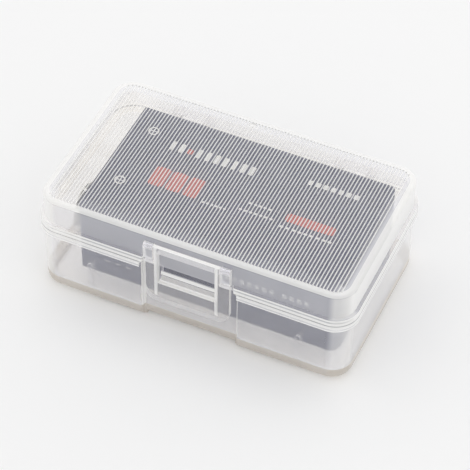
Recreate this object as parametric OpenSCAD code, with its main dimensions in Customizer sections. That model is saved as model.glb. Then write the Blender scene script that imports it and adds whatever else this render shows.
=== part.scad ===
// Latched storage case for one flat 9 V block battery.
// The clear lid turns on two moulded knuckles at the back of the clear tray.
// A latch plate turns on the lid's front, and its window drops over a catch on the tray.
// The battery's body, the plate in its end and its two snaps ride in the tray.
// X runs along the case, the latch faces -Y, and the tray stands on Z = 0.

/* [Battery] */
// Length of the battery's body, without its snaps
battery_length = 46; // [44:0.25:46.5]
// Width of the battery
battery_width = 26.3; // [24.5:0.1:26.5]
// Thickness of the battery
battery_thickness = 15.5; // [15.5:0.1:17.5]
// Rounding of the battery's long edges
battery_edge_radius = 1.5; // [0.8:0.1:2.2]
// Plan radius of the battery's blind end
blind_end_radius = 3; // [1:0.25:4]
// Plan radius of the battery's snap end
snap_end_radius = 0.8; // [0.5:0.1:1.5]

/* [Snaps] */
// Distance between the two snaps, centre to centre
snap_spacing = 12.7; // [12:0.1:13.4]
// How far the snaps stand out of the battery's end
snap_height = 2.6; // [2.2:0.1:2.9]
// Radius of the positive snap's stud
stud_radius = 2.87; // [2.8:0.01:2.95]
// Outer radius of the negative snap's crown
crown_radius = 4.1; // [3.9:0.05:4.4]
// Thickness of the plate that carries the snaps
snap_plate_thickness = 0.8; // [0.5:0.1:1.2]
// Width of the battery's rolled rim round the snap plate
snap_plate_border = 1; // [0.8:0.1:1.6]

/* [Case] */
// Room between the battery's blind end and the case's wall
blind_end_room = 1.7; // [0.6:0.1:3]
// Room between the battery's snap end and the case's wall
snap_end_room = 5.1; // [4:0.1:8]
// Room on each side of the battery
side_room = 1.75; // [1.2:0.05:3]
// Room above the battery
top_room = 0.45; // [0.3:0.05:1]
// Thickness of the side walls
wall = 1.1; // [0.9:0.05:1.3]
// Thickness of the tray's floor
floor_thickness = 1.2; // [1:0.1:1.5]
// Thickness of the lid's top
top_thickness = 1.15; // [1:0.05:1.3]
// Height of the lid, from the parting line to its top
lid_height = 6.3; // [6:0.1:7]
// Plan radius of the case's upright corners
corner_radius = 3.6; // [3:0.1:5]
// Rounding of the lid's top edge
lid_edge_radius = 0.6; // [0.5:0.05:0.8]
// Rounding of the tray's bottom edge
tray_edge_radius = 1.4; // [1:0.1:1.6]

/* [Rim] */
// How far the rims stand out from the walls
rim_reach = 0.64; // [0.4:0.02:0.7]
// Height of each rim
rim_height = 1.35; // [1:0.05:1.6]
// Rounding of the rims' outer edges
rim_edge_radius = 0.2; // [0.1:0.05:0.3]
// Gap between the two rims when the lid is shut
rim_gap = 0.06; // [0.04:0.01:0.1]

/* [Flutes] */
// Distance between neighbouring flutes in the lid's top
flute_pitch = 0.588; // [0.5:0.004:0.8]
// Width of a flute at the surface
flute_width = 0.3; // [0.2:0.02:0.36]
// Depth of a flute
flute_depth = 0.16; // [0.08:0.02:0.2]
// Plain border at the ends of the flutes, from the lid's outside
flute_end_border = 0.95; // [0.9:0.05:2]
// Plain border beside the flutes, from the lid's outside
flute_side_border = 1.75; // [1:0.05:3]
// Radius of the moulding gate's dimple near the lid's back edge
gate_radius = 0.6; // [0.4:0.05:0.8]
// Distance of the gate's dimple from the lid's middle, towards the snaps
gate_offset = 2.4; // [0:0.1:6]

/* [Cradle] */
// Height of the ribs that carry the battery off the floor
cradle_height = 1.6; // [1.4:0.1:2]
// Width of a cradle rib
cradle_width = 0.85; // [0.6:0.05:1.2]
// Distance from the case's ends to the cradle ribs
cradle_inset = 8.8; // [7.5:0.1:12]
// Height of the ribs' ends above the floor
cradle_end_height = 5.5; // [4:0.1:8]
// Clearance between the ribs' ends and the battery
cradle_clearance = 0.35; // [0.2:0.05:0.6]

/* [Hinge] */
// Distance from the case's ends to the hinges
hinge_inset = 12.5; // [9:0.5:16]
// Width of a lid knuckle
knuckle_width = 4.6; // [3:0.2:6]
// Radius of the knuckles
knuckle_radius = 1.25; // [1.15:0.05:1.3]
// Radius of the moulded hinge pins
hinge_pin_radius = 0.6; // [0.5:0.05:0.7]
// Distance of the hinge axis behind the case's back wall
hinge_reach = 2.15; // [2.1:0.05:2.6]
// Width of a tray ear
ear_width = 1.3; // [1:0.1:1.6]
// Running clearance of the hinge and latch pins, on the radius
pin_clearance = 0.05; // [0.02:0.01:0.06]
// Side clearance of a knuckle between its ears, and of the latch between its lugs
side_clearance = 0.1; // [0.08:0.01:0.2]

/* [Latch] */
// Width of the latch plate
latch_width = 15.2; // [14:0.2:16]
// Drop from the lid's top to the top of the latch
latch_drop = 1.2; // [1.1:0.05:1.5]
// Thickness of the latch plate
latch_thickness = 0.8; // [0.7:0.05:0.9]
// Gap between the lid's wall and the latch plate
latch_gap = 0.2; // [0.2:0.05:0.3]
// Height of the latch plate below its window
latch_tab_height = 4.3; // [3.5:0.1:4.8]
// Radius of the latch's two lower corners
latch_corner_radius = 2.4; // [1:0.1:3]
// Height of the bar at the top of the latch
bar_height = 1.1; // [1:0.05:1.3]
// Distance of the latch's axis in front of the lid's wall
latch_axis_reach = 0.62; // [0.6:0.01:0.66]
// Radius of the bar's round back, about the latch's axis
barrel_radius = 0.54; // [0.5:0.01:0.56]
// Radius of the latch's two moulded pins
latch_pin_radius = 0.36; // [0.3:0.01:0.38]
// How far the bar and the two ribs stand out of the latch plate
latch_rib_height = 0.2; // [0.15:0.05:0.3]
// Width of a latch rib
latch_rib_width = 0.5; // [0.3:0.05:0.6]
// Distance from the ribs' lower ends to the latch's lower edge
latch_rib_inset = 1.2; // [0.8:0.1:2]
// Width of each of the lid's two lugs beside the bar
lug_width = 1.65; // [1.4:0.05:1.8]
// Height of the lugs below the top of the latch
lug_height = 3.8; // [3.2:0.1:4]
// Clearance between the latch's sides and the ends of the lid's rim
latch_rim_margin = 0.4; // [0.3:0.05:0.6]

/* [Catch] */
// Width of the window in the latch
window_width = 10.2; // [8:0.1:10.4]
// How deep the tray's front wall steps back behind the latch
recess_depth = 0.8; // [0.7:0.05:0.9]
// Clearance between the latch's sides and the recess
recess_margin = 0.8; // [0.7:0.05:1.4]
// Distance from the parting line to the foot of the catch
catch_drop = 2.85; // [2:0.05:3.2]
// Clearance of the catch in the latch's window
catch_clearance = 0.25; // [0.15:0.05:0.35]
// How far the catch reaches into the window
catch_bite = 0.45; // [0.3:0.05:0.5]

/* [Hidden] */
$fn = 48;

// How far joined solids run into each other, and the number of straight pieces in an arc.
overlap = 0.3;
arc_steps = 6;

// The case is as large as the battery, the room round it and the walls.
case_length = battery_length + blind_end_room + snap_end_room + 2 * wall;
case_width = battery_width + 2 * (side_room + wall);
case_height = floor_thickness + cradle_height + battery_thickness + top_room + top_thickness;
tray_height = case_height - lid_height;
half_length = case_length / 2;
half_width = case_width / 2;

// The latch stands out in front and the hinge behind, and the whole is centred on Y.
latch_front = latch_gap + latch_thickness + latch_rib_height;
shell_y = (latch_front - hinge_reach - knuckle_radius) / 2;

// Places of the two hinges, and of the ears beside their knuckles.
hinge_x = half_length - hinge_inset;
ear_offset = (knuckle_width + ear_width) / 2 + side_clearance;

// Hinge axes of the lid and of the latch.
hinge_y = half_width + hinge_reach;
latch_top = case_height - latch_drop;
latch_axis_y = -half_width - latch_axis_reach;
latch_axis_z = latch_top - barrel_radius;

// The lugs take the latch's upper corners, and its bar lies between them.
lug_outer = latch_width / 2;
lug_inner = lug_outer - lug_width;
lug_radius = latch_front - latch_axis_reach;
bar_half = lug_inner - side_clearance;

// A lug's body stays a little inside its round head, and its foot slopes back to the wall.
// Its inner lower corner is rounded over a share of its width.
lug_set_in = 0.05;
lug_foot_rise = 0.6;
lug_round_share = 0.6;

// The latch's window, and the upright face at the foot of the catch.
window_top = latch_top - bar_height;
window_bottom = tray_height - catch_drop - catch_clearance;
latch_bottom = window_bottom - latch_tab_height;
catch_face_height = 0.4;

// Place of the battery, and the play round the plate in its end.
battery_z = floor_thickness + cradle_height;
battery_end_x = half_length - wall - blind_end_room;
snap_end_x = battery_end_x - battery_length;
snap_z = battery_z + battery_thickness / 2;
plate_clearance = 0.05;

// Pressed metal of the snaps: the sheet that lies on the plate, then the stud and the crown.
snap_sheet = 0.4;
stud_flange = 0.8;
stud_waist = 0.3;
stud_band = 0.8;
stud_roll = 0.6;
crown_roll = 0.2;
crown_waist = 0.7;
crown_waist_height = 0.7;
crown_leaf = 0.5;
crown_fall = 0.9;
crown_leaves = 6;
slot_width = 0.6;
slot_foot = 0.9;

// Points along an arc, from one angle to another.
function arc(cx, cy, r, from, to) = [
    for (i = [0:arc_steps])
        let (a = from + (to - from) * i / arc_steps)
            [cx + r * cos(a), cy + r * sin(a)]
];

function mirrored(points) = [
    for (i = [len(points) - 1:-1:0])
        [-points[i][0], points[i][1]]
];

// Half of a section, from the middle out, with its top edge rounded.
module half_section(reach, height, edge) {
    square([reach - edge, height]);
    square([reach, height - edge]);
    translate([reach - edge, height - edge])
        circle(edge);
}

module section(width, height, edge) {
    half_section(width / 2, height, edge);
    mirror([1, 0])
        half_section(width / 2, height, edge);
}

// A block with round upright corners and a rounded top edge.
module soft_block(length, width, height, corner, edge) {
    rotate([90, 0, 0])
        translate([0, 0, corner - width / 2])
            linear_extrude(width - 2 * corner)
                section(length, height, edge);
    rotate([90, 0, 90])
        translate([0, 0, corner - length / 2])
            linear_extrude(length - 2 * corner)
                section(width, height, edge);
    for (x = [-1, 1], y = [-1, 1])
        translate([x * (length / 2 - corner), y * (width / 2 - corner), 0])
            rotate_extrude()
                half_section(corner, height, edge);
}

// The outside of a shell that stands on its open side, with the rim round its mouth.
module shell_outside(height, edge) {
    soft_block(case_length, case_width, height, corner_radius, edge);
    soft_block(
        case_length + 2 * rim_reach,
        case_width + 2 * rim_reach,
        rim_height,
        corner_radius + rim_reach,
        rim_edge_radius
    );
}

// The hollow of such a shell.
module shell_hollow(height, edge) {
    translate([0, 0, -overlap])
        soft_block(
            case_length - 2 * wall,
            case_width - 2 * wall,
            height + overlap,
            corner_radius - wall,
            edge
        );
}

// Plan of a step in the front: its sides are S-shaped and its mouth lies on y = 0.
module step_plan(half, depth) {
    bend = depth / 2;
    right = concat(
        arc(half + bend, bend, bend, -90, -180),
        arc(half - bend, depth - bend, bend, 0, 90)
    );
    polygon(concat([[half + bend, -2 * overlap]], right, mirrored(right), [[-half - bend, -2 * overlap]]));
}

module recess() {
    half = latch_width / 2 + recess_margin;
    flat = half - recess_depth / 2;
    translate([0, -half_width, -overlap])
        linear_extrude(tray_height)
            step_plan(half, recess_depth);
    translate([0, -half_width - rim_reach, tray_height - 2 * rim_height])
        linear_extrude(3 * rim_height)
            step_plan(half, recess_depth);
    // The bottom edge of the stepped-back wall is rounded like the rest.
    translate([-flat, recess_depth - half_width, 0])
        rotate([90, 0, 90])
            linear_extrude(2 * flat)
                difference() {
                    translate([-overlap, -overlap])
                        square(tray_edge_radius + overlap);
                    translate([tray_edge_radius, tray_edge_radius])
                        circle(tray_edge_radius);
                }
}

// The wall behind the recess steps into the tray by the same depth.
module recess_backing() {
    translate([0, wall - overlap - half_width, floor_thickness - overlap])
        linear_extrude(tray_height - floor_thickness + overlap)
            step_plan(latch_width / 2 + recess_margin + wall / 2, recess_depth + overlap);
}

// Wedge in the recess that the latch's window drops over.
module latch_catch() {
    foot = window_bottom + catch_clearance;
    head = tray_height - rim_edge_radius;
    rotate([90, 0, 90])
        linear_extrude(window_width - 2 * catch_clearance, center = true)
            polygon([
                [recess_depth + wall / 2 - half_width, foot],
                [-latch_gap - catch_bite - half_width, foot],
                [-latch_gap - catch_bite - half_width, foot + catch_face_height],
                [recess_depth - rim_reach - half_width, head],
                [recess_depth + wall / 2 - half_width, head]
            ]);
}

// A rib across the floor whose two round ends stand beside the battery.
module cradle_rib(x) {
    end_reach = battery_width / 2 + cradle_clearance;
    translate([x - cradle_width / 2, 0, 0])
        cube_on_floor(cradle_width, case_width - 2 * wall + overlap, cradle_height);
    for (side = [-1, 1])
        translate([x, side * (end_reach + half_width - wall + overlap) / 2, 0])
            rib_end(half_width - wall + overlap - end_reach);
}

module cube_on_floor(length, width, height) {
    translate([0, -width / 2, floor_thickness - overlap])
        cube([length, width, height + overlap]);
}

module rib_end(depth) {
    translate([-cradle_width / 2, 0, 0])
        cube_on_floor(cradle_width, depth, cradle_end_height - cradle_width / 2);
    translate([0, 0, floor_thickness + cradle_end_height - cradle_width / 2])
        rotate([90, 0, 0])
            cylinder(r = cradle_width / 2, h = depth, center = true);
}

// Two ears beside each lid knuckle, drilled for its pins.
module ear(x) {
    translate([x, 0, tray_height])
        rotate([90, 0, 90])
            linear_extrude(ear_width, center = true)
                difference() {
                    union() {
                        translate([hinge_y, 0])
                            circle(knuckle_radius);
                        translate([half_width - overlap, -knuckle_radius])
                            square([hinge_reach + overlap, knuckle_radius - rim_gap / 2]);
                    }
                    translate([hinge_y, 0])
                        circle(hinge_pin_radius + pin_clearance);
                }
}

module tray() color([0.92, 0.91, 0.88, 0.4])
    translate([0, shell_y, 0]) {
        difference() {
            translate([0, 0, tray_height - rim_gap / 2])
                mirror([0, 0, 1])
                    shell_outside(tray_height - rim_gap / 2, tray_edge_radius);
            recess();
            difference() {
                translate([0, 0, tray_height])
                    mirror([0, 0, 1])
                        shell_hollow(tray_height - floor_thickness, tray_edge_radius - wall / 2);
                recess_backing();
            }
        }
        latch_catch();
        for (side = [-1, 1])
            cradle_rib(side * (half_length - cradle_inset));
        for (hinge = [-1, 1], side = [-1, 1])
            ear(hinge * hinge_x + side * ear_offset);
    }

// Straight grooves from front to back in the lid's top, shorter at its round corners.
module flutes() {
    reach = half_length - flute_side_border;
    count = floor(2 * reach / flute_pitch) + 1;
    corner = corner_radius - flute_end_border;
    corner_x = half_length - corner_radius;
    end_y = half_width - flute_end_border;
    for (i = [0:count - 1])
        let (
            x = (i - (count - 1) / 2) * flute_pitch,
            past = max(0, abs(x) - corner_x),
            length = 2 * (end_y - corner + sqrt(corner * corner - past * past))
        )
            translate([x, 0, case_height])
                rotate([90, 0, 0])
                    linear_extrude(length, center = true)
                        groove();
}

module groove() {
    half = flute_width / 2;
    polygon([
        [-half, overlap],
        [-half, 0],
        [-half / 4, -flute_depth],
        [half / 4, -flute_depth],
        [half, 0],
        [half, overlap]
    ]);
}

// The mark that the moulding gate leaves: a dimple with a small stub in it.
module gate_mark() {
    translate([-gate_offset, half_width - wall - gate_radius, case_height - gate_radius / 2])
        difference() {
            cylinder(r = gate_radius, h = gate_radius);
            translate([0, 0, -overlap])
                cylinder(r = gate_radius / 2, h = gate_radius / 3 + overlap);
        }
}

// A knuckle on an arm from the lid's rim, with a pin at each side.
module lid_knuckle(x) {
    pin_length = knuckle_width + 2 * (side_clearance + ear_width);
    translate([x, 0, tray_height])
        rotate([90, 0, 90]) {
            linear_extrude(knuckle_width, center = true) {
                translate([hinge_y, 0])
                    circle(knuckle_radius);
                translate([half_width - overlap, rim_gap / 2])
                    square([hinge_reach + overlap, knuckle_radius - rim_gap / 2]);
            }
            translate([hinge_y, 0, 0])
                cylinder(r = hinge_pin_radius, h = pin_length, center = true);
        }
}

// A lug beside the latch's bar, drilled for the latch's pin.
module lug(side) {
    low = latch_top - lug_height;
    shoulder = latch_axis_z + lug_radius - 2 * lug_set_in;
    round_corner = lug_width * lug_round_share;
    intersection() {
        translate([side * (lug_inner + lug_outer) / 2, 0, 0])
            rotate([90, 0, 90])
                linear_extrude(lug_width, center = true)
                    difference() {
                        union() {
                            translate([latch_axis_y, latch_axis_z])
                                circle(lug_radius);
                            polygon([
                                [overlap - half_width, shoulder],
                                [latch_axis_y, shoulder],
                                [latch_axis_y - lug_radius + lug_set_in, latch_axis_z],
                                [latch_gap - latch_front - half_width, low + lug_foot_rise],
                                [-half_width - latch_gap, low],
                                [overlap - half_width, low]
                            ]);
                        }
                        translate([latch_axis_y, latch_axis_z])
                            circle(latch_pin_radius + pin_clearance);
                    }
        translate([0, -half_width + 2 * overlap, 0])
            rotate([90, 0, 0])
                linear_extrude(latch_front + 3 * overlap)
                    union() {
                        translate([side > 0 ? lug_inner - overlap : -lug_outer - overlap, low + round_corner])
                            square([lug_width + 2 * overlap, lug_height]);
                        translate([side > 0 ? lug_inner + round_corner : -lug_outer - overlap, low - overlap])
                            square([lug_width - round_corner + overlap, lug_height]);
                        translate([side * (lug_inner + round_corner), low + round_corner])
                            circle(round_corner);
                    }
    }
}

module lid() color([0.92, 0.91, 0.88, 0.4])
    translate([0, shell_y, 0]) {
        difference() {
            translate([0, 0, tray_height + rim_gap / 2])
                shell_outside(lid_height - rim_gap / 2, lid_edge_radius);
            translate([0, 0, tray_height])
                shell_hollow(lid_height - top_thickness, lid_edge_radius);
            // The rim stops beside the latch.
            translate([0, -half_width - rim_reach, tray_height])
                linear_extrude(2 * rim_height)
                    step_plan(latch_width / 2 + latch_rim_margin, rim_reach);
            flutes();
            gate_mark();
        }
        for (side = [-1, 1]) {
            lug(side);
            lid_knuckle(side * hinge_x);
        }
    }

// The latch seen from the front: its upper corners leave room for the lugs.
module latch_plan() {
    half = latch_width / 2;
    shoulder = latch_top - lug_height - catch_clearance;
    difference() {
        union() {
            translate([-bar_half, shoulder - overlap])
                square([2 * bar_half, latch_axis_z - shoulder + overlap]);
            translate([-half, latch_bottom + latch_corner_radius])
                square([latch_width, shoulder - latch_bottom - latch_corner_radius]);
            translate([latch_corner_radius - half, latch_bottom])
                square([latch_width - 2 * latch_corner_radius, 2 * latch_corner_radius]);
            for (side = [-1, 1])
                translate([side * (half - latch_corner_radius), latch_bottom + latch_corner_radius])
                    circle(latch_corner_radius);
        }
        translate([-window_width / 2, window_bottom])
            square([window_width, window_top - window_bottom]);
    }
}

// A stiffening rib beside the window, thinning towards its lower end.
module latch_rib(x) {
    low = latch_bottom + latch_rib_inset;
    back = -half_width - latch_gap - latch_thickness / 2;
    front = -half_width - latch_front;
    translate([x, 0, 0])
        rotate([90, 0, 90])
            linear_extrude(latch_rib_width, center = true)
                polygon([
                    [back, latch_axis_z],
                    [front, latch_axis_z],
                    [front, low + 5 * latch_rib_height],
                    [front + latch_rib_height, low],
                    [back, low]
                ]);
}

// The bar at the top of the latch, with a round back and a rounded front edge.
module latch_bar() {
    front = -half_width - latch_front;
    nose = 1.5 * latch_rib_height;
    rotate([90, 0, 90])
        linear_extrude(2 * bar_half, center = true) {
            translate([latch_axis_y, latch_axis_z])
                circle(barrel_radius);
            translate([front, window_top])
                square([latch_front - latch_gap, bar_height - barrel_radius]);
            translate([front + nose, window_top])
                square([latch_axis_y - front - nose, bar_height]);
            translate([front, window_top])
                square([nose, bar_height - nose]);
            translate([front + nose, latch_top - nose])
                circle(nose);
        }
}

module latch() color([0.94, 0.93, 0.91, 0.45])
    translate([0, shell_y, 0]) {
        translate([0, -half_width - latch_gap, 0])
            rotate([90, 0, 0])
                linear_extrude(latch_thickness)
                    latch_plan();
        latch_bar();
        for (side = [-1, 1])
            latch_rib(side * (window_width + latch_rib_width) / 2);
        translate([0, latch_axis_y, latch_axis_z])
            rotate([0, 90, 0])
                cylinder(r = latch_pin_radius, h = 2 * lug_outer, center = true);
    }

// What is left of a square corner when its inside is rounded.
module corner_cutter(radius, height) {
    difference() {
        translate([0, 0, -overlap])
            cube([radius + overlap, radius + overlap, height + 2 * overlap]);
        translate([0, 0, -2 * overlap])
            cylinder(r = radius, h = height + 4 * overlap);
    }
}

module battery_section() {
    square([battery_width - 2 * battery_edge_radius, battery_thickness], center = true);
    square([battery_width, battery_thickness - 2 * battery_edge_radius], center = true);
    for (y = [-1, 1], z = [-1, 1])
        translate([
            y * (battery_width / 2 - battery_edge_radius),
            z * (battery_thickness / 2 - battery_edge_radius)
        ])
            circle(battery_edge_radius);
}

// The hole in the battery's rolled end, which the snap plate fills.
module snap_plate_block(clearance, thickness) {
    width = battery_width - 2 * (snap_plate_border + clearance);
    height = battery_thickness - 2 * (snap_plate_border + clearance);
    translate([snap_end_x, -width / 2, snap_z - height / 2])
        cube([thickness, width, height]);
}

module battery_body() color([0.12, 0.13, 0.17])
    translate([0, shell_y, 0])
        difference() {
            translate([snap_end_x, 0, snap_z])
                rotate([90, 0, 90])
                    linear_extrude(battery_length)
                        battery_section();
            for (side = [0, 1])
                mirror([0, side, 0]) {
                    translate([
                        battery_end_x - blind_end_radius,
                        battery_width / 2 - blind_end_radius,
                        battery_z
                    ])
                        corner_cutter(blind_end_radius, battery_thickness);
                    translate([
                        snap_end_x + snap_end_radius,
                        battery_width / 2 - snap_end_radius,
                        battery_z
                    ])
                        mirror([1, 0, 0])
                            corner_cutter(snap_end_radius, battery_thickness);
                }
            translate([-overlap, 0, 0])
                snap_plate_block(0, snap_plate_thickness + overlap);
        }

module snap_plate() color([0.1, 0.1, 0.11])
    translate([0, shell_y, 0])
        snap_plate_block(plate_clearance, snap_plate_thickness);

// Turns a profile drawn upright so that it points out of the battery's snap end.
module on_snap_end(y) {
    translate([snap_end_x, shell_y + y, snap_z])
        rotate([0, -90, 0])
            children();
}

// A round stud with a rolled head.
module positive_snap() color([0.8, 0.79, 0.75])
    on_snap_end(snap_spacing / 2)
        rotate_extrude()
            union() {
                square([stud_radius + stud_flange, snap_sheet]);
                square([stud_radius - stud_waist, snap_height - stud_roll]);
                translate([0, snap_height - stud_roll - stud_band])
                    square([stud_radius, stud_band]);
                translate([0, snap_height - stud_roll])
                    square([stud_radius - stud_roll, stud_roll]);
                translate([stud_radius - stud_roll, snap_height - stud_roll])
                    circle(stud_roll);
            }

// Section of the open crown, from its middle out and back along its inside.
module crown_profile() {
    rim = crown_radius - crown_roll;
    waist = crown_radius - crown_waist;
    bore = waist - crown_leaf;
    polygon([
        [0, 0],
        [rim, 0],
        [rim, snap_sheet],
        [waist, crown_waist_height],
        [waist, 2 * crown_waist_height],
        [crown_radius, snap_height - crown_roll],
        [rim, snap_height],
        [bore, snap_height - crown_fall],
        [bore, crown_leaf],
        [0, crown_leaf]
    ]);
}

// An open crown of springy leaves with slots between them.
module negative_snap() color([0.8, 0.79, 0.75])
    on_snap_end(-snap_spacing / 2)
        difference() {
            rotate_extrude()
                crown_profile();
            for (i = [0:crown_leaves - 1])
                rotate([0, 0, 360 / crown_leaves * i])
                    translate([crown_radius / 2, -slot_width / 2, slot_foot])
                        cube([crown_radius, slot_width, snap_height]);
        }

tray();
lid();
latch();
battery_body();
snap_plate();
positive_snap();
negative_snap();
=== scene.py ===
import math

import bmesh
import bpy
from mathutils import Matrix, Vector


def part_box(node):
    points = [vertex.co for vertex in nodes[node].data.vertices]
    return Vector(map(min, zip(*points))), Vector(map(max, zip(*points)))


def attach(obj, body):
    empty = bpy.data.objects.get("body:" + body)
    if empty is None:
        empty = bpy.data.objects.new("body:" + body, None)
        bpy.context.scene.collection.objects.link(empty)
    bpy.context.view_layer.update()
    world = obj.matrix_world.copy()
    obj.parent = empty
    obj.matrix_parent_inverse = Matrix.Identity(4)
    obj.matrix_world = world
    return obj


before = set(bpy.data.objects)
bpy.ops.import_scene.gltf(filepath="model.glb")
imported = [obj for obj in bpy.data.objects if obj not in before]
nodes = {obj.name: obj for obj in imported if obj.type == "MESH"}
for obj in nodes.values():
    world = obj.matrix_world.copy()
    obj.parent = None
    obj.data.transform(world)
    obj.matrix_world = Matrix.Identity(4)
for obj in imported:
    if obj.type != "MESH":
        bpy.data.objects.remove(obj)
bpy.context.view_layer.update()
scene = bpy.context.scene
mm = 0.001

# The camera stands in front of the case and to its right, about 46 degrees up.
# It is well back with a long lens, so the case's edges stay nearly parallel.
camera_place = Vector((105.29, -238.57, 278.33)) * mm
camera_target = Vector((1.59, -2.52, 9.95)) * mm
camera_roll = math.radians(0.947)
lens_length = 172.24
film_width = 36
nearest_seen = 0.01
farthest_seen = 10


def linked(name, data):
    """A new object with that data, linked into the scene."""
    made = bpy.data.objects.new(name, data)
    scene.collection.objects.link(made)
    return made


camera_data = bpy.data.cameras.new("camera")
camera_data.lens = lens_length
camera_data.sensor_width = film_width
camera_data.clip_start = nearest_seen
camera_data.clip_end = farthest_seen
camera = linked("camera", camera_data)
view_line = (camera_target - camera_place).to_track_quat("-Z", "Y")
camera.matrix_world = (
    Matrix.Translation(camera_place)
    @ view_line.to_matrix().to_4x4()
    @ Matrix.Rotation(camera_roll, 4, "Z")
)
scene.camera = camera
scene.view_settings.view_transform = "Standard"
scene.cycles.transparent_max_bounces = 32
scene.cycles.diffuse_bounces = 10

# The case stands on a plain white table in a white room, under one large soft lamp.
# The table keeps the case's soft shadow, and seen directly the room is plain white.
table_colour = (0.93, 0.93, 0.93, 1)
table_roughness = 0.9
table_reach = 3.0
plain_white = (1, 1, 1, 1)
room_light = 0.83
lamp_place = (0.08, 0.18, 0.72)
lamp_size = 0.75
lamp_power = 1.2


def add(tree, kind, values=None, **settings):
    """A shader or geometry node of that kind, with its inputs set or linked."""
    made = tree.nodes.new(kind)
    for name, value in settings.items():
        setattr(made, name, value)
    for name, value in (values or {}).items():
        if isinstance(value, bpy.types.NodeSocket):
            tree.links.new(value, made.inputs[name])
        else:
            made.inputs[name].default_value = value
    return made


def new_material(name):
    material = bpy.data.materials.new(name)
    material.use_nodes = True
    material.node_tree.nodes.clear()
    return material, material.node_tree


def coat(tree, values):
    """The material's surface: one plain coat with those inputs."""
    made = add(tree, "ShaderNodeBsdfPrincipled", values)
    add(tree, "ShaderNodeOutputMaterial", {"Surface": made.outputs[0]})


mesh = bpy.data.meshes.new("table_top")
mesh.from_pydata(
    [(x * table_reach, y * table_reach, 0) for x, y in ((-1, -1), (1, -1), (1, 1), (-1, 1))],
    [],
    [(0, 1, 2, 3)],
)
table = linked("table_top", mesh)
material, tree = new_material("table_paint")
coat(tree, {"Base Color": table_colour, "Roughness": table_roughness})
mesh.materials.append(material)

room = bpy.data.worlds.new("white_room")
scene.world = room
room.use_nodes = True
tree = room.node_tree
tree.nodes.clear()
sight = add(tree, "ShaderNodeLightPath")
light = add(tree, "ShaderNodeBackground", {"Strength": room_light, "Color": plain_white})
plain = add(tree, "ShaderNodeBackground", {"Strength": 1.0, "Color": plain_white})
mirrored = add(tree, "ShaderNodeMath", {
    0: sight.outputs["Is Glossy Ray"], 1: sight.outputs["Is Transmission Ray"]}, operation="MAXIMUM")
direct = add(tree, "ShaderNodeMath", {
    0: sight.outputs["Is Camera Ray"], 1: mirrored.outputs[0]}, operation="MAXIMUM")
shown = add(tree, "ShaderNodeMixShader", {
    0: direct.outputs[0], 1: light.outputs[0], 2: plain.outputs[0]})
add(tree, "ShaderNodeOutputWorld", {"Surface": shown.outputs[0]})

data = bpy.data.lights.new("soft_lamp", "AREA")
data.shape = "DISK"
data.size = lamp_size
data.energy = lamp_power
lamp = linked("soft_lamp", data)
lamp.location = lamp_place
lamp.rotation_euler = (-Vector(lamp_place)).to_track_quat("-Z", "Y").to_euler()

# The case is moulded from clear polypropylene, a little milky, in three pieces.
# The walls show what is behind them. Thick places and edges gather light and look white, and this light is
# painted on as white milk along them, as painted highlights.
shell_middle_y = -1.1
half_length = 27.5
half_width = 16.0
corner_radius = 3.6
case_top = 19.9
parting = 13.6
milk_colour = (0.985, 0.98, 0.965, 1)
thin_colour = (0.91, 0.915, 0.985, 1)
clear_tint = (0.994, 0.987, 0.975, 1)
lamp_tint = (0.995, 0.995, 0.99, 1)
# Painted shade: the grey that darkens the rims next to the parting line and the flutes' back ends.
painted_shade_colour = (0.3, 0.3, 0.3, 1)
flow_scale = 0.16
flow_detail = 3.0
flow_share = 0.08
ripple_scale = 1.3
ripple_detail = 2.0
ripple_strength = 0.06
ripple_depth = 0.2 * mm
milk_roughness = 0.42
gloss_roughness = 0.14
gloss_fall = 5.0
gloss_range = (0.04, 0.8)
glow_range = (0.12, 0.75)
thick_range = (0.3, 0.8)

# Each pair is where a mask starts and where it is whole, in millimetres or as a share.
corner_zone = (0.0, 1.4)
hollow_reach = (-0.85, -1.0)
hollow_floor = (1.0, 1.15)
hollow_top = (case_top - 1.0, case_top - 1.1)
mouth_turn = (0.8, 0.9)
mouth_reach = (0.5, 0.4)
mouth_height = (0.1, 0.05)
rim_start = (0.02, 0.12)
rim_end = (0.8, 0.7)
rim_turn = (0.9, 0.6)
rim_height = (1.6, 1.5)
dull_from = (0.6, 0.75)
dull_to = (1.05, 0.95)
rim_strength = 0.95
dull_strength = -0.35


def sum_up(tree, operation, first, second=0.0, third=0.0):
    return add(tree, "ShaderNodeMath", {0: first, 1: second, 2: third}, operation=operation).outputs[0]


def band(tree, value, start, end):
    """0 up to start and 1 from end on, or the other way where end is the smaller."""
    rising = start < end
    return add(tree, "ShaderNodeMapRange", {
        "Value": value,
        "From Min": min(start, end),
        "From Max": max(start, end),
        "To Min": 0.0 if rising else 1.0,
        "To Max": 1.0 if rising else 0.0,
    }, interpolation_type="SMOOTHSTEP").outputs[0]


def both(tree, *masks):
    """Where all the masks are."""
    total = masks[0]
    for mask in masks[1:]:
        total = sum_up(tree, "MULTIPLY", total, mask)
    return total


def most(tree, *masks):
    """Where any of the masks is."""
    total = masks[0]
    for mask in masks[1:]:
        total = sum_up(tree, "MAXIMUM", total, mask)
    return total


def strongest(tree, *marks):
    """The greatest of several masks, each times its strength."""
    return most(tree, *(sum_up(tree, "MULTIPLY", mask, strength) for strength, mask in marks))


def weighted(tree, start, *marks):
    """The start with each mask times its strength added."""
    total = start
    for strength, mask in marks:
        total = sum_up(tree, "MULTIPLY_ADD", mask, strength, total)
    return total


def spread(tree, value, limits):
    """The value from 0 to 1, moved to the limits."""
    return add(tree, "ShaderNodeMapRange", {
        "Value": value, "To Min": limits[0], "To Max": limits[1]}).outputs[0]


def away_from(tree, value, middle):
    """How far the value is from the middle, on either side."""
    return sum_up(tree, "ABSOLUTE", sum_up(tree, "SUBTRACT", value, middle))


def blend(tree, share, first, second):
    """One colour where the share is 0 and the other where it is 1."""
    return add(tree, "ShaderNodeMix", {0: share, 6: first, 7: second}, data_type="RGBA").outputs[2]


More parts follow.
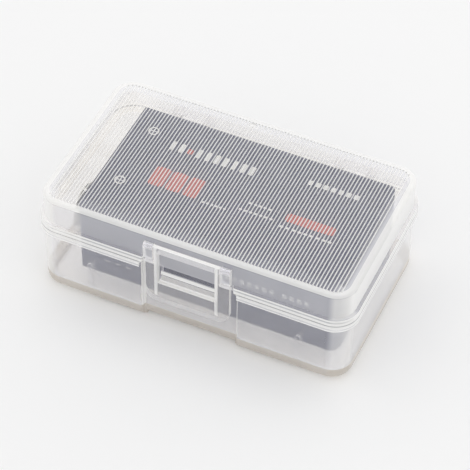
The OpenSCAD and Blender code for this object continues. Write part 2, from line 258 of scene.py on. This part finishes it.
def object_places(tree):
    """The piece's own coordinates in millimetres, together and one by one."""
    coordinates = add(tree, "ShaderNodeTexCoord").outputs["Object"]
    scaled = add(tree, "ShaderNodeVectorMath", {0: coordinates, "Scale": 1000.0}, operation="SCALE")
    split = add(tree, "ShaderNodeSeparateXYZ", {0: scaled.outputs[0]})
    return scaled.outputs[0], *split.outputs


def wall_places(tree, x, y):
    """How far outside the walls a point is, in millimetres, and a mask of the upright corners."""
    past_x = sum_up(tree, "MAXIMUM", sum_up(
        tree, "SUBTRACT", sum_up(tree, "ABSOLUTE", x), half_length - corner_radius))
    past_y = sum_up(tree, "MAXIMUM", sum_up(
        tree, "SUBTRACT", away_from(tree, y, shell_middle_y), half_width - corner_radius))
    squares = sum_up(tree, "MULTIPLY_ADD", past_x, past_x, sum_up(tree, "MULTIPLY", past_y, past_y))
    outside = sum_up(tree, "SUBTRACT", sum_up(tree, "SQRT", squares), corner_radius)
    corner = band(tree, sum_up(tree, "MINIMUM", past_x, past_y), *corner_zone)
    return outside, corner


def facing_parts(tree):
    """How much a face is turned towards the piece's own x, y and z."""
    normal = add(tree, "ShaderNodeTexCoord").outputs["Normal"]
    split = add(tree, "ShaderNodeSeparateXYZ", {0: normal})
    return [sum_up(tree, "ABSOLUTE", part) for part in split.outputs]


def inner_faces(tree, z, outside, upward):
    """1 on the faces inside the case, which stay clear, because one milky face is enough for a wall.
    The walls' faces at the parting line stay clear too."""
    hollow = both(tree, band(tree, outside, *hollow_reach), band(tree, z, *hollow_floor),
                  band(tree, z, *hollow_top))
    mouth = both(tree, band(tree, upward, *mouth_turn), band(tree, outside, *mouth_reach),
                 band(tree, away_from(tree, z, parting), *mouth_height))
    return most(tree, hollow, mouth)


def rim_highlights(tree, z, outside, upward):
    """Painted highlights on the rims on both sides of the parting line: white along their edges, and duller
    between.
    """
    away = away_from(tree, z, parting)
    between = both(tree, band(tree, away, *dull_from), band(tree, away, *dull_to))
    strength = weighted(tree, rim_strength, (dull_strength, between))
    return both(tree, band(tree, outside, *rim_start), band(tree, outside, *rim_end),
                band(tree, upward, *rim_turn), band(tree, away, *rim_height), strength)


def plastic(tree, place, haze, milk_and_highlights, inner, grazing, milk=milk_colour):
    """Clear plastic: haze is how milky a face is, and the white mask marks where it is whole, at milky places
    and at painted highlights.
    Seen at a grazing angle the plastic is milkier, by up to grazing."""
    flow = add(tree, "ShaderNodeTexNoise", {"Vector": place, "Scale": flow_scale, "Detail": flow_detail})
    slant = add(tree, "ShaderNodeLayerWeight", {"Blend": 0.5}).outputs["Facing"]
    squared = sum_up(tree, "MULTIPLY", slant, slant)
    cloudy = sum_up(tree, "MULTIPLY_ADD", flow.outputs["Fac"], flow_share, haze)
    cloudy = weighted(tree, cloudy, (grazing, squared))
    cloudy = sum_up(tree, "MULTIPLY", cloudy, sum_up(tree, "SUBTRACT", 1.0, inner))
    amount = add(tree, "ShaderNodeMath", {0: cloudy, 1: milk_and_highlights}, operation="MAXIMUM", use_clamp=True)
    toned = blend(tree, band(tree, amount.outputs[0], *thick_range), thin_colour, milk)
    ripple = add(tree, "ShaderNodeTexNoise", {
        "Vector": place, "Scale": ripple_scale, "Detail": ripple_detail})
    bump = add(tree, "ShaderNodeBump", {
        "Height": ripple.outputs["Fac"], "Strength": ripple_strength, "Distance": ripple_depth}).outputs[0]
    clear = add(tree, "ShaderNodeBsdfTransparent", {"Color": clear_tint})
    near = add(tree, "ShaderNodeBsdfPrincipled", {
        "Base Color": toned, "Roughness": milk_roughness, "Normal": bump})
    far = add(tree, "ShaderNodeBsdfTranslucent", {"Color": toned, "Normal": bump})
    # A wall that is seen from inside is lit from outside, so it glows more.
    glow = spread(tree, add(tree, "ShaderNodeNewGeometry").outputs["Backfacing"], glow_range)
    body = add(tree, "ShaderNodeMixShader", {0: glow, 1: near.outputs[0], 2: far.outputs[0]})
    seen = add(tree, "ShaderNodeMixShader", {0: amount.outputs[0], 1: clear.outputs[0], 2: body.outputs[0]})
    mirrored = spread(tree, sum_up(tree, "POWER", slant, gloss_fall), gloss_range)
    gloss = add(tree, "ShaderNodeBsdfGlossy", {
        "Color": plain_white, "Roughness": gloss_roughness, "Normal": bump})
    shiny = add(tree, "ShaderNodeMixShader", {0: mirrored, 1: seen.outputs[0], 2: gloss.outputs[0]})
    shadow = add(tree, "ShaderNodeLightPath").outputs["Is Shadow Ray"]
    light_through = add(tree, "ShaderNodeBsdfTransparent", {"Color": lamp_tint})
    whole = add(tree, "ShaderNodeMixShader", {0: shadow, 1: shiny.outputs[0], 2: light_through.outputs[0]})
    add(tree, "ShaderNodeOutputMaterial", {"Surface": whole.outputs[0]})


def dress(name, material):
    data = nodes[name].data
    data.materials.clear()
    data.materials.append(material)


# The tray is the lower shell. Its rim, the catch's lower face, the sides of the panel behind the latch and
# the cradle ribs are made white as painted highlights, and its rounded foot is painted a darker beige, as
# painted shade for the shadowed table seen through it.
tray_haze = 0.16
tray_grazing = 0.6
tray_gap_shade = 0.6
# Painted shade: the darker beige of the rounded foot, for the shadowed table seen through it.
foot_shade_colour = (0.62, 0.57, 0.51, 1)
tray_gap_height = (parting - 0.14, parting - 0.05)
catch_height = (10.4, 10.6)
catch_front = (-16.4, -16.5)
catch_side = (5.1, 5.0)
catch_lead = (11.25, 11.15)
rib_reach = (-1.15, -1.25)
rib_turn = (0.5, 0.8)
rib_height = (7.5, 6.9)
arch_place = 18.7
arch_from = (-1.1, -1.15)
arch_to = (-1.6, -1.45)
arch_height = (7.0, 6.8)
arch_width = (0.6, 0.5)
panel_from = (7.5, 7.7)
panel_to = (9.1, 8.9)
panel_turn = (0.3, 0.6)
panel_front = (-15.5, -15.8)
foot_top = (2.6, 2.4)
foot_floor = (0.02, 0.1)
hinge_zone = (half_width - 0.2, half_width)

material, tree = new_material("tray_plastic")
place, x, y, z = object_places(tree)
outside, corner = wall_places(tree, x, y)
across, _, upward = facing_parts(tree)
side = sum_up(tree, "ABSOLUTE", x)
gap = both(tree, band(tree, z, *tray_gap_height), band(tree, outside, *rim_start))
catch = both(tree, band(tree, z, *catch_height), band(tree, y, *catch_front), band(tree, side, *catch_side))
catch_face = both(tree, catch, band(tree, z, *catch_lead))
rib_sides = both(tree, band(tree, outside, *rib_reach), band(tree, across, *rib_turn),
                 band(tree, z, *rib_height))
rib_arches = both(tree, band(tree, outside, *arch_from), band(tree, outside, *arch_to),
                  band(tree, z, *arch_height), band(tree, away_from(tree, side, arch_place), *arch_width))
panel_sides = both(tree, band(tree, side, *panel_from), band(tree, side, *panel_to),
                   band(tree, across, *panel_turn), band(tree, y, *panel_front))
foot = both(tree, band(tree, z, *foot_top), band(tree, z, *foot_floor))
# Painted highlights: white milk on the rim's edges, the catch's lower face, the cradle ribs and the panel's
# sides.
milk_and_highlights = strongest(
    tree,
    (1.0, rim_highlights(tree, z, outside, upward)),
    (0.85, catch_face),
    (0.3, rib_sides),
    (0.8, rib_arches),
    (0.9, panel_sides),
)
haze = weighted(
    tree,
    tray_haze,
    (0.5, foot),
    (-0.1, catch),
    (0.3, corner),
    (-0.1, band(tree, y, *hinge_zone)),
)
# Painted shade: the rim faces next to the parting line are darkened towards grey, for the shade in the gap
# between the shells.
shade = blend(tree, sum_up(tree, "MULTIPLY", gap, tray_gap_shade), milk_colour, painted_shade_colour)
shade = blend(tree, foot, shade, foot_shade_colour)
plastic(tree, place, haze, milk_and_highlights, inner_faces(tree, z, outside, upward), tray_grazing, shade)
dress("tray", material)

# The lid is the same plastic. Its top is fluted from front to back, and the flutes
# scatter light, so that the battery shows only between them.
lid_haze = 0.22
lid_grazing = 1.3
lid_gap_shade = 0.7
lid_gap_height = (parting + 0.2, parting + 0.1)
edge_turn = (0.75, 0.45)
lug_height = (parting + 1.5, parting + 1.6)
top_edge_reach = (-1.15, -1.05)
top_edge_height = (case_top - 0.5, case_top - 0.4)
end_edge_reach = (-2.6, -1.2)
end_edge_side = (half_length - 3.0, half_length - 2.0)
plate_reach = (-1.0, -1.2)
plate_height = (case_top - 1.4, case_top - 1.2)
plate_border = (-5.0, -1.0)
flute_reach = (-0.75, -0.85)
flute_rim = (case_top - 0.05, case_top - 0.09)
flute_floor = (case_top - 0.4, case_top - 0.3)
flute_end_reach = (-1.2, -1.1)

material, tree = new_material("lid_plastic")
place, x, y, z = object_places(tree)
outside, corner = wall_places(tree, x, y)
_, along, upward = facing_parts(tree)
side = sum_up(tree, "ABSOLUTE", x)
gap = both(tree, band(tree, z, *lid_gap_height), band(tree, outside, *rim_start))
lug_edges = both(tree, band(tree, outside, *rim_start), band(tree, along, *edge_turn),
                 band(tree, z, *lug_height))
top_edge = both(tree, band(tree, outside, *top_edge_reach), band(tree, z, *top_edge_height))
end_edge = both(tree, band(tree, outside, *end_edge_reach), band(tree, z, *plate_height),
                band(tree, side, *end_edge_side))
flute = both(tree, band(tree, outside, *flute_reach), band(tree, z, *flute_rim),
             band(tree, z, *flute_floor))
flute_end_shadow = both(tree, flute, band(tree, outside, *flute_end_reach))
top_plate = both(tree, band(tree, outside, *plate_reach), band(tree, z, *plate_height))
# Painted highlights: white milk on the rim's edges, the lugs' edges, the top edge and the end edges. The
# flutes are milky as frosted plastic.
milk_and_highlights = strongest(
    tree,
    (1.0, rim_highlights(tree, z, outside, upward)),
    (0.1, lug_edges),
    (0.78, top_edge),
    (0.5, end_edge),
    (0.75, flute),
)
haze = weighted(
    tree,
    lid_haze,
    (-0.33, top_plate),
    (0.15, both(tree, top_plate, band(tree, outside, *plate_border))),
    (0.3, corner),
    (-0.1, band(tree, y, *hinge_zone)),
)
# Painted shade: the rim faces next to the parting line are darkened towards grey, and so are the flutes' back
# ends, as painted shadows at the grooves' ends.
dark = sum_up(tree, "MULTIPLY", strongest(tree, (1.0, gap), (0.6, flute_end_shadow)), lid_gap_shade)
shade = blend(tree, dark, milk_colour, painted_shade_colour)
plastic(tree, place, haze, milk_and_highlights, inner_faces(tree, z, outside, upward), lid_grazing, shade)
dress("lid", material)

# The latch is a thin clear plate with a window, moulded with its two pins.
# Its narrow edges and its two ribs are painted white, as painted highlights, and its back stays clear.
latch_haze = 0.0
latch_grazing = 0.2
edge_dulling = -0.35
underside_turn = (0.3, 0.7)
shoulder_side = (5.8, 5.9)
shoulder_turn = (0.8, 0.9)
rib_inner = (5.0, 5.1)
rib_outer = (5.7, 5.6)
rib_front = (-18.1, -18.15)
bar_height = (17.5, 17.7)
bar_front = (-17.9, -18.0)
back_reach = (0.32, 0.28)
back_turn = (0.7, 0.9)

material, tree = new_material("latch_plastic")
place, x, y, z = object_places(tree)
outside, _ = wall_places(tree, x, y)
_, along, upward = facing_parts(tree)
side = sum_up(tree, "ABSOLUTE", x)
from_behind = add(tree, "ShaderNodeNewGeometry").outputs["Backfacing"]
underside = both(tree, from_behind, band(tree, upward, *underside_turn))
shoulders = both(tree, band(tree, side, *shoulder_side), band(tree, upward, *shoulder_turn))
edges = both(tree, band(tree, along, *edge_turn),
             weighted(tree, 1.0, (edge_dulling, most(tree, underside, shoulders))))
ribs = both(tree, band(tree, side, *rib_inner), band(tree, side, *rib_outer), band(tree, y, *rib_front))
bar = both(tree, band(tree, z, *bar_height), band(tree, y, *bar_front))
back = both(tree, band(tree, outside, *back_reach), band(tree, along, *back_turn))
milk_and_highlights = strongest(tree, (0.85, edges), (0.7, ribs), (0.12, bar))
plastic(tree, place, latch_haze, milk_and_highlights, back, latch_grazing)
dress("latch", material)

# The battery's steel jacket is wrapped in a dark blue printed foil, satin and faintly mottled.
# The foil's end is glued over its start along the battery's back side, low down.
foil_dark = (0.021, 0.026, 0.066, 1)
foil_light = (0.031, 0.038, 0.094, 1)
foil_roughness = (0.28, 0.42)
foil_shine = 0.3
mottle_scale = 0.9
mottle_detail = 4.0
mottle_strength = 0.08
mottle_depth = 0.1 * mm
seam_height = 5.2
seam_face = (11.8, 11.9)
seam_step = (seam_height - 0.03, seam_height + 0.03)
seam_width = (0.12, 0.04)
seam_shade = 0.6
foil_thickness = 0.06 * mm


def grain(tree, scale, detail=2.0):
    """A fine noise over the piece. The scale is per millimetre."""
    place = object_places(tree)[0]
    return add(tree, "ShaderNodeTexNoise", {
        "Vector": place, "Scale": scale, "Detail": detail}).outputs["Fac"]


material, tree = new_material("foil")
mottle = grain(tree, mottle_scale, mottle_detail)
_, _, y, z = object_places(tree)
at_back = band(tree, y, *seam_face)
overlap = both(tree, at_back, band(tree, z, *seam_step))
seam_line = both(tree, at_back, band(tree, away_from(tree, z, seam_height), *seam_width))
tone = sum_up(tree, "SUBTRACT", mottle, sum_up(tree, "MULTIPLY", seam_line, seam_shade))
bump = add(tree, "ShaderNodeBump", {
    "Height": mottle, "Strength": mottle_strength, "Distance": mottle_depth}).outputs[0]
step = add(tree, "ShaderNodeBump", {
    "Height": overlap, "Strength": 1.0, "Distance": foil_thickness, "Normal": bump}).outputs[0]
coat(tree, {
    "Base Color": blend(tree, tone, foil_dark, foil_light),
    "Roughness": spread(tree, mottle, foil_roughness),
    "Specular IOR Level": foil_shine,
    "Normal": step,
})
dress("battery_body", material)

# The print on the foil is plain bars and blocks, with a ring for each pole.
# Each row of bars is repeated along a line and raised by the thickness of the ink.
ink_depth = 0.02 * mm
ink_rise = 0.03 * mm
ink_roughness = 0.38
ink_scale = 2.5
thin_ink = 0.8
bar_corner_steps = 4
merge_distance = 0.001 * mm


def bar_row(name, count, pitch, length, height, rounding, start, turn, material):
    """A mesh of rounded bars in a row, standing on a plane turned by turn."""
    tree = bpy.data.node_groups.new(name, "GeometryNodeTree")
    sizes = dict(Count=count, Pitch=pitch, Length=length, Height=height, Rounding=rounding)
    for label in sizes:
        kind = "NodeSocketInt" if label == "Count" else "NodeSocketFloat"
        tree.interface.new_socket(label, in_out="INPUT", socket_type=kind)
    tree.interface.new_socket("Bars", in_out="OUTPUT", socket_type="NodeSocketGeometry")
    given = tree.nodes.new("NodeGroupInput")
    along_row = add(tree, "ShaderNodeCombineXYZ", {0: given.outputs["Pitch"]})
    line = add(tree, "GeometryNodeMeshLine", {
        "Count": given.outputs["Count"], "Offset": along_row.outputs[0]})
    shape = add(tree, "GeometryNodeCurvePrimitiveQuadrilateral", {
        "Width": given.outputs["Length"], "Height": given.outputs["Height"]})
    soft = add(tree, "GeometryNodeFilletCurve", {
        "Curve": shape.outputs[0], "Radius": given.outputs["Rounding"],
        "Count": bar_corner_steps}, mode="POLY")
    stem = add(tree, "GeometryNodeCurvePrimitiveLine", {
        "Start": (0, 0, -ink_depth), "End": (0, 0, ink_rise)})
    solid = add(tree, "GeometryNodeCurveToMesh", {
        "Curve": stem.outputs[0], "Profile Curve": soft.outputs[0], "Fill Caps": True})
    repeated = add(tree, "GeometryNodeInstanceOnPoints", {
        "Points": line.outputs[0], "Instance": solid.outputs[0]})
    placed = add(tree, "GeometryNodeTransform", {
        "Geometry": repeated.outputs[0], "Translation": start, "Rotation": turn})
    real = add(tree, "GeometryNodeRealizeInstances", {"Geometry": placed.outputs[0]})
    painted = add(tree, "GeometryNodeSetMaterial", {"Geometry": real.outputs[0], "Material": material})
    result = tree.nodes.new("NodeGroupOutput")
    tree.links.new(painted.outputs[0], result.inputs[0])

    holder = linked(name, bpy.data.meshes.new(name))
    maker = holder.modifiers.new("rows", "NODES")
    maker.node_group = tree
    for socket in tree.interface.items_tree:
        if socket.in_out == "INPUT":
            maker[socket.identifier] = sizes[socket.name]
    bpy.context.view_layer.update()
    evaluated = holder.evaluated_get(bpy.context.evaluated_depsgraph_get())
    made = bpy.data.meshes.new_from_object(evaluated)
    bpy.data.objects.remove(holder)
    return made


def piece_of(name, whole, material):
    """An object of the case's tray body, made from a finished bmesh."""
    bmesh.ops.recalc_face_normals(whole, faces=whole.faces)
    made = bpy.data.meshes.new(name)
    whole.to_mesh(made)
    whole.free()
    made.materials.append(material)
    piece = linked(name, made)
    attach(piece, "case_tray")
    return piece


def printed(name, meshes, material):
    """One printed piece from several meshes, with their doubled corners merged."""
    whole = bmesh.new()
    for part in meshes:
        whole.from_mesh(part)
    bmesh.ops.remove_doubles(whole, verts=whole.verts, dist=merge_distance)
    piece_of(name, whole, material)


def ink(name, colour):
    """Printing ink, a little thinner in places."""
    material, tree = new_material(name)
    thinner = [thin_ink * part for part in colour[:3]] + [1]
    coat(tree, {
        "Base Color": blend(tree, grain(tree, ink_scale), colour, thinner), "Roughness": ink_roughness})
    return material


white_ink = ink("white_ink", (0.76, 0.76, 0.76, 1))
grey_ink = ink("grey_ink", (0.36, 0.36, 0.38, 1))
red_ink = ink("red_ink", (0.47, 0.075, 0.06, 1))
battery_low, battery_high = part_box("battery_body")
flat = (0, 0, 0)
upright = (math.radians(90), 0, 0)


def on_top(x, y):
    return (x * mm, y * mm, battery_high.z)


def on_side(x, z):
    return (x * mm, battery_low.y, z * mm)


# Each row: count, then pitch, length, height and rounding in millimetres,
# then the first bar's middle and the turn of the row's plane.
white_rows = [
    (2, 1.6, 0.8, 2.1, 0.25, on_top(-13.0, 4.6), flat),
    (7, 1.6, 0.8, 2.1, 0.25, on_top(-8.2, 4.6), flat),
    (6, 0.75, 0.45, 0.42, 0.1, on_top(-2.9, -5.3), flat),
    (5, 0.85, 0.5, 0.42, 0.1, on_top(4.2, -2.3), flat),
    (7, 0.9, 0.55, 0.42, 0.1, on_top(3.2, -4.2), flat),
    (7, 1.35, 0.85, 1.05, 0.2, on_top(11.2, 6.2), flat),
    (9, 1.05, 0.65, 0.42, 0.1, on_top(10.8, -5.0), flat),
]
grey_rows = [
    (8, 1.3, 0.8, 1.1, 0.15, on_side(4.2, 13.0), upright),
    (4, 1.3, 0.8, 1.1, 0.15, on_side(15.5, 13.0), upright),
    (3, 1.9, 1.0, 0.3, 0.1, on_side(-16.2, 7.0), upright),
]
red_rows = [
    (1, 1.0, 1.2, 1.2, 0.5, on_top(-9.8, 4.4), flat),
    (3, 3.1, 2.6, 4.4, 0.5, on_top(-11.9, -3.0), flat),
    (1, 1.0, 8.5, 1.9, 0.5, on_top(14.9, -2.65), flat),
]
for name, rows, paint in (
    ("foil_print_white", white_rows, white_ink),
    ("foil_print_grey", grey_rows, grey_ink),
    ("foil_print_red", red_rows, red_ink),
):
    printed(name, [
        bar_row(
            f"{name}_{number}", count, pitch * mm, length * mm, height * mm, rounding * mm, start, turn, paint
        )
        for number, (count, pitch, length, height, rounding, start, turn) in enumerate(rows)
    ], paint)

# Each pole is marked by a printed ring with a cross or a bar in it.
# The ring and the strokes have the thickness of the ink.
ring_outer = 0.95
ring_inner = 0.7
ring_steps = 32
sign_length = 1.0
sign_width = 0.22
sign_rounding = 0.05
pole_x = -17.5
pole_y = 6.4
ring_section = (
    (ring_inner * mm, -ink_depth), (ring_outer * mm, -ink_depth),
    (ring_outer * mm, ink_rise), (ring_inner * mm, ink_rise),
)


def swept(whole, loops):
    """The faces between each loop of corners and the next, round to the first one."""
    for here, there in zip(loops, loops[1:] + loops[:1]):
        for number in range(len(here)):
            follow = (number + 1) % len(here)
            whole.faces.new((here[number], here[follow], there[follow], there[number]))


def ring_mesh(middle):
    """A flat ring round the middle."""
    whole = bmesh.new()
    loops = []
    for step in range(ring_steps):
        angle = math.tau * step / ring_steps
        loops.append([
            whole.verts.new((
                middle[0] + radius * math.cos(angle),
                middle[1] + radius * math.sin(angle),
                middle[2] + rise,
            ))
            for radius, rise in ring_section
        ])
    swept(whole, loops)
    made = bpy.data.meshes.new("pole_ring")
    whole.to_mesh(made)
    whole.free()
    return made


quarter_turn = (0, 0, math.radians(90))
for name, y, turns in (
    ("pole_mark_positive", pole_y, (flat, quarter_turn)),
    ("pole_mark_negative", -pole_y, (flat,)),
):
    middle = on_top(pole_x, y)
    printed(name, [ring_mesh(middle)] + [
        bar_row(
            f"{name}_{number}", 1, mm, sign_length * mm, sign_width * mm, sign_rounding * mm,
            middle, turn, white_ink
        )
        for number, turn in enumerate(turns)
    ], white_ink)

# A black fibre board closes the battery's end and carries the two snaps.
# Its fibres show as a fine, dull grain.
board_dark = (0.02, 0.02, 0.021, 1)
board_light = (0.045, 0.044, 0.042, 1)
board_roughness = 0.6
fibre_scale = 3.0
fibre_detail = 3.0

material, tree = new_material("snap_board")
fibres = grain(tree, fibre_scale, fibre_detail)
coat(tree, {"Base Color": blend(tree, fibres, board_dark, board_light), "Roughness": board_roughness})
dress("snap_plate", material)

# The end of the steel jacket is folded in over the board's edge as a narrow bare lip.
# It is a rounded rectangle swept with a small half-round section, whose points are
# how far each lies outwards and how far it stands proud of the board.
lip_reach_y = 12.15
lip_reach_z = 6.75
lip_corner = 0.5
lip_section = ((-0.25, -0.05), (-0.25, 0.04), (-0.14, 0.12), (0.05, 0.14), (0.2, 0.08), (0.25, -0.05))
lip_corner_steps = 6
steel_dark = (0.42, 0.42, 0.43, 1)
steel_light = (0.58, 0.58, 0.58, 1)
steel_roughness = (0.3, 0.5)
steel_scale = 1.4
steel_detail = 3.0

board_low, board_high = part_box("snap_plate")
board_middle = (board_low + board_high) / 2
whole = bmesh.new()
loops = []
for quarter, (side_y, side_z) in enumerate(((1, 1), (-1, 1), (-1, -1), (1, -1))):
    bend_y = side_y * (lip_reach_y - lip_corner)
    bend_z = side_z * (lip_reach_z - lip_corner)
    for part in range(lip_corner_steps + 1):
        angle = math.radians(90 * (quarter + part / lip_corner_steps))
        loops.append([
            whole.verts.new((
                board_low.x - rise * mm,
                board_middle.y + (bend_y + (lip_corner + reach) * math.cos(angle)) * mm,
                board_middle.z + (bend_z + (lip_corner + reach) * math.sin(angle)) * mm,
            ))
            for reach, rise in lip_section
        ])
swept(whole, loops)
material, tree = new_material("bare_jacket_steel")
rolled = grain(tree, steel_scale, steel_detail)
coat(tree, {
    "Base Color": blend(tree, rolled, steel_dark, steel_light),
    "Metallic": 1.0,
    "Roughness": spread(tree, rolled, steel_roughness),
})
piece_of("jacket_lip", whole, material)

# The snaps are pressed from nickel-plated sheet steel.
# The plating is bright, and duller in small spots.
nickel_colour = (0.72, 0.71, 0.68, 1)
nickel_roughness = (0.2, 0.38)
nickel_scale = 2.0

material, tree = new_material("nickel")
coat(tree, {
    "Base Color": nickel_colour,
    "Metallic": 1.0,
    "Roughness": spread(tree, grain(tree, nickel_scale), nickel_roughness),
})
dress("positive_snap", material)
dress("negative_snap", material)
